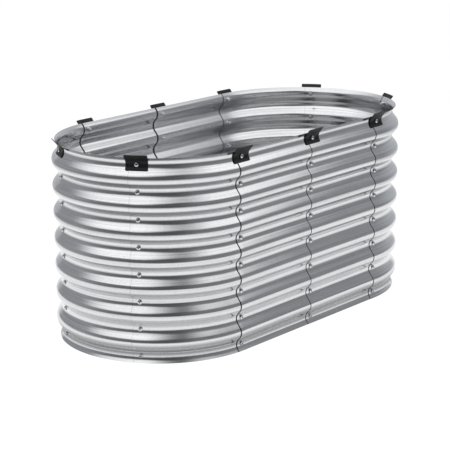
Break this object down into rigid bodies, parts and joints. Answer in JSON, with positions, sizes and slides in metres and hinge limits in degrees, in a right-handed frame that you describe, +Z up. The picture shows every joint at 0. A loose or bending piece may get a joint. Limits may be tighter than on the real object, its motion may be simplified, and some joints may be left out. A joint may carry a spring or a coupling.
{
  "type": "raised garden bed",
  "caption": "Oval raised garden bed of corrugated galvanized steel, open at top and bottom: lapped sheets bolted in columns, with black clips along the rim.",
  "frame": {"origin": "on the ground, at the middle of the bed's outline", "axes": "+X along the bed's length, +Y across it, +Z up"},
  "size_m": [1.2476, 0.6212, 0.581],
  "materials": {
    "galvanized_sheet": "bright galvanized, glossy with faint rolling streaks",
    "black_clips": "matte black powder coat with a fine texture",
    "zinc_fasteners": "bright zinc plating"
  },
  "bodies": {
    "root": {"straight_panel_1": "galvanized_sheet", "straight_panel_2": "galvanized_sheet", "straight_panel_6": "galvanized_sheet", "straight_panel_7": "galvanized_sheet", "bent_panel_3": "galvanized_sheet", "bent_panel_4": "galvanized_sheet", "bent_panel_5": "galvanized_sheet", "bent_panel_8": "galvanized_sheet", "bent_panel_9": "galvanized_sheet", "bent_panel_10": "galvanized_sheet", "rim_clip_1": "black_clips", "rim_clip_2": "black_clips", "rim_clip_3": "black_clips", "rim_clip_4": "black_clips", "rim_clip_5": "black_clips", "rim_clip_6": "black_clips", "rim_clip_7": "black_clips", "rim_clip_8": "black_clips", "rim_clip_9": "black_clips", "rim_clip_10": "black_clips", "screws_1": "zinc_fasteners", "screws_2": "zinc_fasteners", "screws_3": "zinc_fasteners", "screws_4": "zinc_fasteners", "screws_5": "zinc_fasteners", "screws_6": "zinc_fasteners", "screws_7": "zinc_fasteners", "screws_8": "zinc_fasteners", "screws_9": "zinc_fasteners", "screws_10": "zinc_fasteners", "washers_1": "zinc_fasteners", "washers_2": "zinc_fasteners", "washers_3": "zinc_fasteners", "washers_4": "zinc_fasteners", "washers_5": "zinc_fasteners", "washers_6": "zinc_fasteners", "washers_7": "zinc_fasteners", "washers_8": "zinc_fasteners", "washers_9": "zinc_fasteners", "washers_10": "zinc_fasteners", "nuts_1": "zinc_fasteners", "nuts_2": "zinc_fasteners", "nuts_3": "zinc_fasteners", "nuts_4": "zinc_fasteners", "nuts_5": "zinc_fasteners", "nuts_6": "zinc_fasteners", "nuts_7": "zinc_fasteners", "nuts_8": "zinc_fasteners", "nuts_9": "zinc_fasteners", "nuts_10": "zinc_fasteners"}
  },
  "joints": []
}
